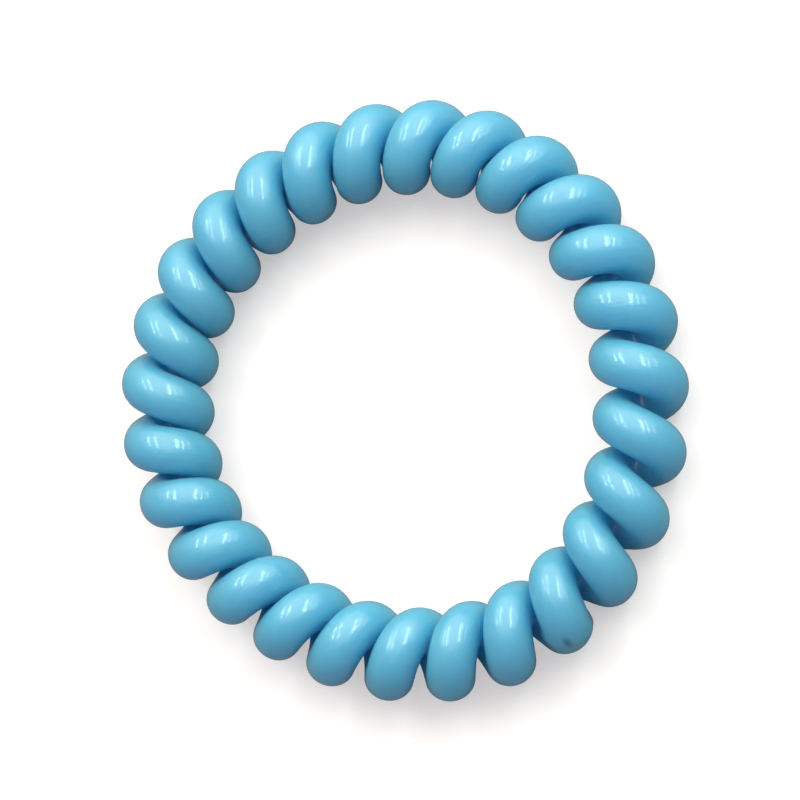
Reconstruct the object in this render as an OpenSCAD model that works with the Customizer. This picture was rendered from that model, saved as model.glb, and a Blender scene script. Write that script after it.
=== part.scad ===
// Spiral hair tie: one elastic plastic cord, wound left-handed into a coil that is bent
// round and welded to itself. It lies flat on Z = 0, with the middle of its box on the Z axis.

/* [Ring] */
// Outside diameter of the relaxed ring
ring_od = 55; // [40:0.5:80]
// Smallest gap left between neighbouring turns
turn_gap = 0.07; // [0.05:0.01:0.5]

/* [Cord] */
// Width of the cord, along the coil, where its turns stand free of each other
cord_w = 4.5; // [3:0.05:6]
// Thickness of the cord, from the hollow of the coil outwards
cord_t = 4.1; // [3:0.05:5.5]
// Diameter of the hollow that the winding rod leaves through the coil
hollow_d = 0.5; // [0.4:0.1:4]
// Share of its width that the cord loses where its turns press together
pressed = 0.045; // [0:0.005:0.08]

/* [Weld] */
// Angle round the ring, from +X, of the turn that carries the weld
weld_angle = 309; // [0:1:359]
// Angle of the weld round that turn, from its outermost point upwards
weld_phase = 15; // [-60:5:90]
// Height of the swelling at the weld
weld_h = 0.12; // [0:0.01:0.2]
// Length of the swelling along the cord
weld_len = 2.6; // [2:0.1:5]

/* [Hidden] */

// Sides of the cord and sections of it in each turn
SIDES = 12;
SECTIONS_PER_TURN = 16;
// Squareness of the side that lay on the winding rod: 1 is half an ellipse
ROD_SIDE_POWER = 0.85;
// Where on its turn the cord is at +X, as a share of a turn upwards from the outermost point
START_TURN = -0.17;
// Half of the short step round the ring, in degrees, over which a direction is measured
STEP = 0.1;

// Soft bends of the ring: [waves in a circuit, share of the ring's radius, angle of a crest]
RING_WAVES = [
    [2, 0.014, 135],
    [3, 0.018, 65],
];
// Loose and tight stretches: [waves in a circuit, share of the mean spacing, angle of a loose one]
SPACING_WAVES = [
    [1, 0.036, 330],
    [2, 0.012, 10],
    [3, 0.031, 3],
];

coil_od = hollow_d + 2 * cord_t;
ring_r = (ring_od - coil_od) / 2;
helix_r = (hollow_d + cord_t) / 2;
pressed_w = cord_w * (1 - pressed);

function unit(v) = v / norm(v);
function total(list) = list * [for (item = list) 1];

// Radius of the ring, and the local spacing of its turns against their mean, at a ring angle
function ring_radius(angle) =
    ring_r * (1 + total([for (wave = RING_WAVES) wave[1] * cos(wave[0] * (angle - wave[2]))]));
function spacing_share(angle) =
    1 + total([for (wave = SPACING_WAVES) wave[1] * cos(wave[0] * (angle - wave[2]))]);

// Spacing along the ring at which slanting turns clear each other by turn_gap
clear_w = pressed_w + turn_gap;
least_pitch = 1 / sqrt(1 / pow(clear_w, 2) - 1 / pow(2 * PI * helix_r, 2));
// As many turns as fit side by side in the tightest stretch, on the inside of the ring
tight_length = min([for (angle = [0:5:355])
    2 * PI * (ring_radius(angle) - helix_r) * spacing_share(angle)]);
turns = floor(tight_length / least_pitch);
section_count = turns * SECTIONS_PER_TURN;

// Turns wound up to a ring angle
function turns_at(angle) =
    START_TURN + turns * (angle / 360 - total([for (wave = SPACING_WAVES)
        wave[1] * sin(wave[0] * (angle - wave[2])) / (2 * PI * wave[0])]));

// Middle of the coil, and the middle of the cord as it winds round that, at a ring angle
function ring_point(angle) = ring_radius(angle) * [cos(angle), sin(angle), 0];
function ring_heading(angle) = unit(ring_point(angle + STEP) - ring_point(angle - STEP));
function outward(angle) = cross(ring_heading(angle), [0, 0, 1]);
function cord_normal(angle) =
    cos(360 * turns_at(angle)) * outward(angle) + sin(360 * turns_at(angle)) * [0, 0, 1];
function cord_point(angle) = ring_point(angle) + helix_r * cord_normal(angle);
function cord_heading(angle) = unit(cord_point(angle + STEP) - cord_point(angle - STEP));

// Width of the cord: full on the outside of the ring, pressed on the inside
function width_at(angle) =
    pressed_w + (cord_w - pressed_w) * (1 + cos(360 * turns_at(angle))) / 2;

// Swelling at the weld, from its distance along the cord either way round
turn_length = norm([2 * PI * helix_r, 2 * PI * ring_r / turns]);
weld_at = round(turns_at(weld_angle) - weld_phase / 360) + weld_phase / 360;
function swelling(angle) =
    let (
        turns_off = abs(turns_at(angle) - weld_at),
        away = min(turns_off, turns - turns_off) * turn_length
    )
    away < weld_len / 2 ? weld_h * pow(cos(180 * away / weld_len), 2) : 0;

// One side's place in the section: [along the coil, away from its hollow]
function section_point(side, half_w, half_t) =
    let (turned = 360 * side / SIDES)
    sin(turned) >= 0
        ? [half_w * cos(turned), half_t * sin(turned)]
        : [half_w * sign(cos(turned)) * pow(abs(cos(turned)), ROD_SIDE_POWER),
           -half_t * pow(abs(sin(turned)), ROD_SIDE_POWER)];

// The cord's section, square to the cord, at a ring angle
function cord_section(angle) =
    let (
        middle = cord_point(angle),
        across = unit(cross(cord_heading(angle), cord_normal(angle))),
        away = cross(across, cord_heading(angle)),
        half_w = width_at(angle) / 2 + swelling(angle),
        half_t = cord_t / 2 + swelling(angle)
    )
    [for (side = [0:SIDES - 1])
        let (place = section_point(side, half_w, half_t))
        middle + place[0] * across + place[1] * away];

// Lowest value and middle value of the corners along one axis
function lowest(points, axis) = min([for (point = points) point[axis]]);
function halfway(points, axis) = (lowest(points, axis) + max([for (point = points) point[axis]])) / 2;

module spiral_coil() {
    corners = [for (i = [0:section_count - 1]) each cord_section(360 * i / section_count)];
    corner_count = section_count * SIDES;
    skin = [for (i = [0:section_count - 1], side = [0:SIDES - 1])
        let (
            next_side = (side + 1) % SIDES,
            near = i * SIDES,
            far = (near + SIDES) % corner_count
        )
        each [
            [near + side, near + next_side, far + next_side],
            [near + side, far + next_side, far + side],
        ]];
    color("skyblue")
        translate([-halfway(corners, 0), -halfway(corners, 1), -lowest(corners, 2)])
            polyhedron(points = corners, faces = skin, convexity = 10);
}

spiral_coil();
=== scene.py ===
import math

import bmesh
import bpy
from mathutils import Matrix, Vector, noise


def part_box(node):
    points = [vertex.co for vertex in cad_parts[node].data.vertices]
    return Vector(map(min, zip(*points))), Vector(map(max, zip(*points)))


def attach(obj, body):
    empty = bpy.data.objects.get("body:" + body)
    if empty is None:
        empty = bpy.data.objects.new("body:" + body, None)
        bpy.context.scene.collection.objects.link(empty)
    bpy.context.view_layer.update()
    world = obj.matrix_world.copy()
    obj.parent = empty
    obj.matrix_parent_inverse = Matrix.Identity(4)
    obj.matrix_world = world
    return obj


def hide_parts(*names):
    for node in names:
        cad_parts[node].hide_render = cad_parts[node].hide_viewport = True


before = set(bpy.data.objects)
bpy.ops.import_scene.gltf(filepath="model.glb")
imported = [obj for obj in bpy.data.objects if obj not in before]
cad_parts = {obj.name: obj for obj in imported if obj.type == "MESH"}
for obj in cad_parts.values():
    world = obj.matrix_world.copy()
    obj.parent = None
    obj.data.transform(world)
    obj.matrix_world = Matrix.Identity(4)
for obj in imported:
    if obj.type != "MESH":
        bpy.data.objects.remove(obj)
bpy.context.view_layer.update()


# The camera looks down into the ring from 68 degrees above the floor, with the tie's +Y at the top
# of the picture. Its long lens is close to half a metre off, so near and far turns look alike.
TOWARDS_CAMERA = Vector((0.3626, -0.0651, 0.9297)).normalized()
PICTURE_UP = Vector((0.0122, 0.9978, 0.0651))
CAMERA_DISTANCE = 0.45
NEAREST_SEEN = 0.01
LENS_MM = 222

lowest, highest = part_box("spiral_coil")
middle = (lowest + highest) / 2


def facing_middle(place, upwards):
    """The place and turn of a camera or lamp that looks at the middle of the tie, its Y upwards."""
    backwards = (place - middle).normalized()
    sideways = upwards.cross(backwards).normalized()
    turned = Matrix((sideways, backwards.cross(sideways), backwards)).transposed()
    return Matrix.Translation(place) @ turned.to_4x4()


camera_data = bpy.data.cameras.new("camera")
camera_data.lens = LENS_MM
camera_data.clip_start = NEAREST_SEEN
camera = bpy.data.objects.new("camera", camera_data)
camera.matrix_world = facing_middle(middle + CAMERA_DISTANCE * TOWARDS_CAMERA, PICTURE_UP)
bpy.context.scene.collection.objects.link(camera)
bpy.context.scene.camera = camera


# The studio is a round table top in a room that is brightest above and behind the tie, under five
# tube lamps that run away from the camera on both sides of its lens. The camera sees the top in a
# paler shade with a little light of its own, for the white of a product picture.
FLOOR_R = 3.0
FLOOR_EDGES = 96
FLOOR_ROUGHNESS = 0.6
FLOOR_GREY = (0.22, 0.225, 0.235, 1)
FLOOR_SEEN = (0.67, 0.62, 0.61, 1)
FLOOR_LIFT = (0.40, 0.40, 0.40, 1)
ROOM_BRIGHTEST = (-0.20, 0.76, 0.61)
ROOM_GLOW = (2.35, 2.10, 1.87)
ROOM_DIM = (0.37, 0.37, 0.41)
# How near to the room's brightest direction its glow begins, as the cosine of the angle between them
GLOW_BEGINS = 0.4
# The lamps' cool colour, and the power that a square metre of lamp needs for a radiance of one
LAMP_TINT = (0.74, 1, 1)
POWER_PER_RADIANCE = 4
# A lamp's name, its nearer and farther end, each to the right, up the picture and towards the lens
# from the middle of the tie, its width and its radiance
LAMPS = (
    ("left_tube", (-0.56, 0.23, 0.78), (-0.49, 0.80, 0.32), 0.08, 7),
    ("far_left_tube", (-0.79, 0.25, 0.58), (-0.70, 0.69, 0.23), 0.06, 8),
    ("middle_tube", (0.18, 0.24, 0.95), (0.15, 0.86, 0.48), 0.13, 7),
    ("right_tube", (0.40, 0.23, 0.88), (0.35, 0.80, 0.48), 0.05, 6),
    ("far_right_tube", (0.62, 0.26, 0.74), (0.56, 0.71, 0.43), 0.09, 2.5),
)

picture_right = PICTURE_UP.cross(TOWARDS_CAMERA).normalized()


def from_middle(aside, up, nearer):
    """A direction or distance from the middle of the tie, from how it lies in the picture."""
    return aside * picture_right + up * PICTURE_UP + nearer * TOWARDS_CAMERA


for name, near_end, far_end, width, radiance in LAMPS:
    near = middle + from_middle(*near_end)
    far = middle + from_middle(*far_end)
    lamp_data = bpy.data.lights.new(name, "AREA")
    lamp_data.shape = "RECTANGLE"
    lamp_data.size = width
    lamp_data.size_y = (far - near).length
    lamp_data.energy = POWER_PER_RADIANCE * radiance * width * lamp_data.size_y
    lamp_data.color = LAMP_TINT
    lamp = bpy.data.objects.new(name, lamp_data)
    lamp.matrix_world = facing_middle((near + far) / 2, far - near)
    bpy.context.scene.collection.objects.link(lamp)

world = bpy.data.worlds.new("pale_room")
world.use_nodes = True
room = world.node_tree
direction = room.nodes.new("ShaderNodeTexCoord")
nearness = room.nodes.new("ShaderNodeVectorMath")
nearness.operation = "DOT_PRODUCT"
nearness.inputs[1].default_value = from_middle(*ROOM_BRIGHTEST).normalized()
glow = room.nodes.new("ShaderNodeMapRange")
glow.interpolation_type = "SMOOTHSTEP"
glow.inputs["From Min"].default_value = GLOW_BEGINS
glow.inputs["From Max"].default_value = 1
room_colour = room.nodes.new("ShaderNodeMix")
room_colour.data_type = "RGBA"
room_colour.inputs["A"].default_value = (*ROOM_DIM, 1)
room_colour.inputs["B"].default_value = (*ROOM_GLOW, 1)
room.links.new(direction.outputs["Generated"], nearness.inputs[0])
room.links.new(nearness.outputs["Value"], glow.inputs["Value"])
room.links.new(glow.outputs["Result"], room_colour.inputs["Factor"])
room.links.new(room_colour.outputs["Result"], room.nodes["Background"].inputs["Color"])
bpy.context.scene.world = world
bpy.context.scene.view_settings.view_transform = "Standard"

table_top = bmesh.new()
bmesh.ops.create_circle(table_top, cap_ends=True, segments=FLOOR_EDGES, radius=FLOOR_R)
floor_mesh = bpy.data.meshes.new("floor")
table_top.to_mesh(floor_mesh)
table_top.free()
floor = bpy.data.objects.new("floor", floor_mesh)
bpy.context.scene.collection.objects.link(floor)

table_paint = bpy.data.materials.new("white_table_top")
table_paint.use_nodes = True
paint = table_paint.node_tree
floor_shader = paint.nodes["Principled BSDF"]
floor_shader.inputs["Roughness"].default_value = FLOOR_ROUGHNESS
floor_shader.inputs["Emission Color"].default_value = FLOOR_LIFT
seen = paint.nodes.new("ShaderNodeLightPath")
floor_shade = paint.nodes.new("ShaderNodeMix")
floor_shade.data_type = "RGBA"
floor_shade.inputs["A"].default_value = FLOOR_GREY
floor_shade.inputs["B"].default_value = FLOOR_SEEN
paint.links.new(seen.outputs["Is Camera Ray"], floor_shade.inputs["Factor"])
paint.links.new(floor_shade.outputs["Result"], floor_shader.inputs["Base Color"])
paint.links.new(seen.outputs["Is Camera Ray"], floor_shader.inputs["Emission Strength"])
floor_mesh.materials.append(table_paint)


# The tie is one cord of sky-blue elastic plastic. It is wound warm round a thin rod, left-handed,
# and its two ends are melted together, so the coil closes into a ring of 27 turns. The lengths
# here are those of the part, in metres.
RING_OD = 0.055
CORD_W = 0.0045
CORD_T = 0.0041
HOLLOW_D = 0.0005
# Share of its width that the cord loses on the inside of the ring, and the squareness of the side
# that lay on the rod: 1 is half an ellipse
PRESSED = 0.045
ROD_SIDE_POWER = 0.85
# The number of turns, and where on its turn the cord is at +X, as a share of a turn
TURNS = 27
START_TURN = -0.17
# Soft bends of the ring, and its loose and tight stretches: waves in a circuit, share of the ring's
# radius or of the turns' spacing, and the angle of a crest in degrees
RING_WAVES = ((2, 0.014, 135), (3, 0.018, 65))
SPACING_WAVES = ((1, 0.036, 330), (2, 0.012, 10), (3, 0.031, 3))
# Where the weld is, in turns from the start, the swelling there, and how far along the cord the
# plastic melted
WELD_AT = 23.0417
SWELLING_H = 0.00012
SWELLING_LEN = 0.0026
MELTED_LEN = 0.0009
# The bead where the ends met: how far it leans along the cord, the side of the cord that it leans
# from, in radians, its mean height as a share of BEAD_H, and its lumps' depth, number and pattern
BEAD_H = 0.00006
BEAD_W = 0.00024
BEAD_SLANT = 0.00035
BEAD_SLANT_FROM = 0.6
BEAD_MEAN = 0.7
LUMP_DEPTH = 0.5
LUMPS_ROUND = 3
LUMP_PATTERN = 7.3

# Sides of the cord, sections in a turn, and cuts in each section close to the weld
SIDES = 40
SECTIONS_PER_TURN = 70
CUTS_AT_WELD = 6
# Half of the short step round the ring over which a direction is measured
STEP = math.radians(0.1)
# The faint ripple of a drawn cord, and how close corners lie that are merged
RIPPLE_H = 0.00001
RIPPLE_LEN = 0.0009
MERGE_DISTANCE = 0.000001

coil_r = (RING_OD - HOLLOW_D) / 2 - CORD_T
helix_r = (HOLLOW_D + CORD_T) / 2
turn_length = math.hypot(2 * math.pi * helix_r, 2 * math.pi * coil_r / TURNS)


def ring_point(angle):
    """The middle of the coil at a ring angle."""
    wave = sum(
        share * math.cos(count * (angle - math.radians(crest)))
        for count, share, crest in RING_WAVES
    )
    return coil_r * (1 + wave) * Vector((math.cos(angle), math.sin(angle), 0))


def turns_at(angle):
    """Turns wound from the start up to a ring angle."""
    lag = sum(
        share * math.sin(count * (angle - math.radians(crest))) / (2 * math.pi * count)
        for count, share, crest in SPACING_WAVES
    )
    return START_TURN + TURNS * (angle / (2 * math.pi) - lag)


def cord_normal(angle):
    """The direction from the middle of the coil to the cord."""
    phase = 2 * math.pi * turns_at(angle)
    ring_heading = (ring_point(angle + STEP) - ring_point(angle - STEP)).normalized()
    outward = ring_heading.cross(Vector((0, 0, 1)))
    return math.cos(phase) * outward + Vector((0, 0, math.sin(phase)))


def cord_point(angle):
    """The middle of the cord at a ring angle."""
    return ring_point(angle) + helix_r * cord_normal(angle)


# The ring angle of the weld, nearer at each pass because the turns are almost evenly spaced
WELD_PASSES = 6
weld_angle = 2 * math.pi * (WELD_AT - START_TURN) / TURNS
for correction in range(WELD_PASSES):
    weld_angle += 2 * math.pi * (WELD_AT - turns_at(weld_angle)) / TURNS


def angle_at(turn):
    """The ring angle that lies a number of mean turns past the weld."""
    return weld_angle + 2 * math.pi * turn / TURNS


def from_weld(angle):
    """Distance along the cord from the weld, the shorter way round."""
    turns_off = (turns_at(angle) - WELD_AT + TURNS / 2) % TURNS - TURNS / 2
    return turns_off * turn_length


def straight_cord(stations):
    """A tube of radius 1 along Z with a ring of corners at each station."""
    tube = bmesh.new()
    bmesh.ops.create_circle(tube, segments=SIDES, radius=1)
    bmesh.ops.translate(tube, verts=tube.verts, vec=(0, 0, stations[0]))
    edges = tube.edges[:]
    for near, far in zip(stations, stations[1:]):
        grown = bmesh.ops.extrude_edge_only(tube, edges=edges)["geom"]
        corners = [item for item in grown if isinstance(item, bmesh.types.BMVert)]
        edges = [item for item in grown if isinstance(item, bmesh.types.BMEdge)]
        bmesh.ops.translate(tube, verts=corners, vec=(0, 0, far - near))
    return tube


def lay_map(tube, turn):
    """Maps one turn of the tube: turns along the cord from the weld, and shares of the way round."""
    cord_map = tube.loops.layers.uv.new("along_cord")
    for face in tube.faces:
        centre = face.calc_center_median()
        centre_share = math.atan2(centre.x, centre.y) / (2 * math.pi)
        for loop in face.loops:
            corner = loop.vert.co
            share = math.atan2(corner.x, corner.y) / (2 * math.pi)
            share -= round(share - centre_share)
            loop[cord_map].uv = (turn + corner.z, share + 0.5)


def bead_height(along, around):
    """Height of the thin bead where the two melted ends met, on a slightly slanting line."""
    off_line = along - BEAD_SLANT * math.sin(around - BEAD_SLANT_FROM)
    lump_x = LUMPS_ROUND * math.cos(around)
    lump_y = LUMPS_ROUND * math.sin(around)
    lumps = BEAD_MEAN + LUMP_DEPTH * noise.noise(Vector((lump_x, lump_y, LUMP_PATTERN)))
    return BEAD_H * lumps * math.exp(-((2 * off_line / BEAD_W) ** 2))


def wind(tube, angles):
    """Shapes each ring of the tube to the cord's section and carries it to its place on the coil."""
    tube.verts.ensure_lookup_table()
    melted = tube.verts.layers.float.new("melted")
    for number, angle in enumerate(angles):
        ring = tube.verts[number * SIDES:(number + 1) * SIDES]
        centre = cord_point(angle)
        heading = (cord_point(angle + STEP) - cord_point(angle - STEP)).normalized()
        across = heading.cross(cord_normal(angle)).normalized()
        away = across.cross(heading)
        along = from_weld(angle)
        near_weld = abs(along) < SWELLING_LEN / 2
        swelling = SWELLING_H * math.cos(math.pi * along / SWELLING_LEN) ** 2 if near_weld else 0
        squeeze = (1 - math.cos(2 * math.pi * turns_at(angle))) / 2
        half_w = CORD_W * (1 - PRESSED * squeeze) / 2 + swelling
        half_t = CORD_T / 2 + swelling
        for corner in ring:
            x, y = corner.co.x, corner.co.y
            around = math.atan2(y, x)
            if y < 0:
                x = math.copysign(abs(x) ** ROD_SIDE_POWER, x)
                y = -(abs(y) ** ROD_SIDE_POWER)
            bead = bead_height(along, around) if near_weld else 0
            corner.co = centre + (half_w + bead) * x * across + (half_t + bead) * y * away
            corner[melted] = math.exp(-((along / MELTED_LEN) ** 2))


coil = bmesh.new()
turn_mesh = bpy.data.meshes.new("one_turn")
for turn in range(TURNS):
    stations = []
    for section in range(SECTIONS_PER_TURN):
        start = section / SECTIONS_PER_TURN
        near_weld = abs(from_weld(angle_at(turn + start))) < SWELLING_LEN / 3
        cuts = CUTS_AT_WELD if near_weld else 1
        stations += [start + cut / cuts / SECTIONS_PER_TURN for cut in range(cuts)]
    stations.append(1)
    tube = straight_cord(stations)
    lay_map(tube, turn)
    wind(tube, [angle_at(turn + station) for station in stations])
    tube.to_mesh(turn_mesh)
    tube.free()
    coil.from_mesh(turn_mesh)
bpy.data.meshes.remove(turn_mesh)
bmesh.ops.remove_doubles(coil, verts=coil.verts, dist=MERGE_DISTANCE)
bmesh.ops.recalc_face_normals(coil, faces=coil.faces)
coil.normal_update()
for corner in coil.verts:
    corner.co += RIPPLE_H * noise.noise(corner.co / RIPPLE_LEN) * corner.normal
made_lowest = Vector(min(corner.co[axis] for corner in coil.verts) for axis in range(3))
made_highest = Vector(max(corner.co[axis] for corner in coil.verts) for axis in range(3))
settle = middle - (made_lowest + made_highest) / 2
settle.z = lowest.z - made_lowest.z
bmesh.ops.translate(coil, verts=coil.verts, vec=settle)

coil_mesh = bpy.data.meshes.new("cord_coil")
for face in coil.faces:
    face.smooth = True
coil.to_mesh(coil_mesh)
coil.free()
cord_coil = bpy.data.objects.new("cord_coil", coil_mesh)
bpy.context.scene.collection.objects.link(cord_coil)

# The pigment's two blues, how far light travels in the plastic, and its share of that in red, green
# and blue
DEEP_BLUE = (0.067, 0.311, 0.472, 1)
LIGHT_BLUE = (0.083, 0.349, 0.509, 1)
LIGHT_REACH = 0.012
REACH_SHARES = (0.20, 0.75, 1.0)
# How often the pigment drifts and the dimples repeat in a metre, and the die lines along a turn and
# round the cord, and how deep the lines and the dimples are
PIGMENT_SCALE = 160
DIMPLE_SCALE = 1500
DIE_LINE_SCALE = (5, 45, 1)
LINE_DEPTH = 0.000018
DIMPLE_DEPTH = 0.000012
# The part of the die lines' noise that changes the gloss, and the roughness that it gives
NOISE_LOW = 0.3
NOISE_HIGH = 0.7
GLOSSIEST = 0.05
DULLEST = 0.12
# The melted plastic at the weld is darker and duller. In it, a dark speck is painted shade standing
# in for the shade inside a small pit there. The speck's place is in turns along the cord and shares
# of the way round, and its scale is how fast it fades each way.
WELD_TEAL = (0.048, 0.245, 0.325, 1)
WELD_SHARE = 0.5
WELD_DULLNESS = 0.12
PIT_SHADE_TEAL = (0.004, 0.145, 0.180, 1)
SPECK_AT = (0.031, 0.45, 0)
SPECK_SCALE = (12, 13, 0)
SPECK_EDGE = 0.48
SPECK_CORE = 0.02

cord_plastic = bpy.data.materials.new("sky_blue_elastic")
cord_plastic.use_nodes = True
plastic = cord_plastic.node_tree.nodes["Principled BSDF"]
plastic.inputs["IOR"].default_value = 1.55
plastic.inputs["Coat Weight"].default_value = 0.8
plastic.inputs["Coat Roughness"].default_value = 0.6
plastic.inputs["Coat IOR"].default_value = 1.7
plastic.inputs["Subsurface Weight"].default_value = 1
plastic.inputs["Subsurface Radius"].default_value = REACH_SHARES
plastic.inputs["Subsurface Scale"].default_value = LIGHT_REACH


def plastic_node(kind, **settings):
    """A node of the cord's material, with its properties and its unlinked sockets set by name."""
    node = cord_plastic.node_tree.nodes.new(kind)
    for name, value in settings.items():
        if hasattr(node, name):
            setattr(node, name, value)
        else:
            node.inputs[name.replace("_", " ")].default_value = value
    return node


join = cord_plastic.node_tree.links.new
coordinates = plastic_node("ShaderNodeTexCoord")

# The pigment isn't mixed quite evenly, so the blue drifts a little from place to place.
pigment = plastic_node("ShaderNodeTexNoise", Scale=PIGMENT_SCALE, Detail=3, Roughness=0.6)
pigment_mix = plastic_node("ShaderNodeMix", data_type="RGBA", A=DEEP_BLUE, B=LIGHT_BLUE)
join(coordinates.outputs["Object"], pigment.inputs["Vector"])
join(pigment.outputs["Fac"], pigment_mix.inputs["Factor"])
melted = plastic_node("ShaderNodeAttribute", attribute_name="melted")
melted_share = plastic_node("ShaderNodeMath", operation="MULTIPLY")
melted_share.inputs[1].default_value = WELD_SHARE
join(melted.outputs["Fac"], melted_share.inputs[0])
weld_mix = plastic_node("ShaderNodeMix", data_type="RGBA", B=WELD_TEAL)
join(melted_share.outputs["Value"], weld_mix.inputs["Factor"])
join(pigment_mix.outputs["Result"], weld_mix.inputs["A"])
# Painted shade: a dark teal spot at the weld stands in for the shade inside a small pit there.
speck_offset = plastic_node("ShaderNodeVectorMath", operation="SUBTRACT")
speck_offset.inputs[1].default_value = SPECK_AT
speck_away = plastic_node("ShaderNodeVectorMath", operation="MULTIPLY")
speck_away.inputs[1].default_value = SPECK_SCALE
speck_distance = plastic_node("ShaderNodeVectorMath", operation="LENGTH")
pit_shade_mask = plastic_node("ShaderNodeMapRange", interpolation_type="SMOOTHSTEP")
pit_shade_mask.inputs["From Min"].default_value = SPECK_EDGE
pit_shade_mask.inputs["From Max"].default_value = SPECK_CORE
join(coordinates.outputs["UV"], speck_offset.inputs[0])
join(speck_offset.outputs["Vector"], speck_away.inputs[0])
join(speck_away.outputs["Vector"], speck_distance.inputs[0])
join(speck_distance.outputs["Value"], pit_shade_mask.inputs["Value"])
pit_shade_mix = plastic_node("ShaderNodeMix", data_type="RGBA", B=PIT_SHADE_TEAL)
join(pit_shade_mask.outputs["Result"], pit_shade_mix.inputs["Factor"])
join(weld_mix.outputs["Result"], pit_shade_mix.inputs["A"])
join(pit_shade_mix.outputs["Result"], plastic.inputs["Base Color"])

# Fine lines that the die left along the cord change its gloss and the edges of its reflections.
drawn = plastic_node("ShaderNodeMapping")
drawn.inputs["Scale"].default_value = DIE_LINE_SCALE
die_lines = plastic_node("ShaderNodeTexNoise", Scale=1, Detail=3, Roughness=0.55)
join(coordinates.outputs["UV"], drawn.inputs["Vector"])
join(drawn.outputs["Vector"], die_lines.inputs["Vector"])
gloss = plastic_node("ShaderNodeMapRange")
gloss.inputs["From Min"].default_value = NOISE_LOW
gloss.inputs["From Max"].default_value = NOISE_HIGH
gloss.inputs["To Min"].default_value = GLOSSIEST
gloss.inputs["To Max"].default_value = DULLEST
join(die_lines.outputs["Fac"], gloss.inputs["Value"])
dullness = plastic_node("ShaderNodeMath", operation="MULTIPLY_ADD")
dullness.inputs[1].default_value = WELD_DULLNESS
join(melted.outputs["Fac"], dullness.inputs[0])
join(gloss.outputs["Result"], dullness.inputs[2])
join(dullness.outputs["Value"], plastic.inputs["Roughness"])

# The skin has the faint dimples of a soft plastic that set against air.
dimples = plastic_node("ShaderNodeTexNoise", Scale=DIMPLE_SCALE, Detail=2, Roughness=0.5)
join(coordinates.outputs["Object"], dimples.inputs["Vector"])
dimple_bump = plastic_node("ShaderNodeBump", Strength=1, Distance=DIMPLE_DEPTH)
line_bump = plastic_node("ShaderNodeBump", Strength=1, Distance=LINE_DEPTH)
join(dimples.outputs["Fac"], dimple_bump.inputs["Height"])
join(die_lines.outputs["Fac"], line_bump.inputs["Height"])
join(dimple_bump.outputs["Normal"], line_bump.inputs["Normal"])
join(line_bump.outputs["Normal"], plastic.inputs["Normal"])
coil_mesh.materials.append(cord_plastic)
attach(cord_coil, "root")
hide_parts("spiral_coil")
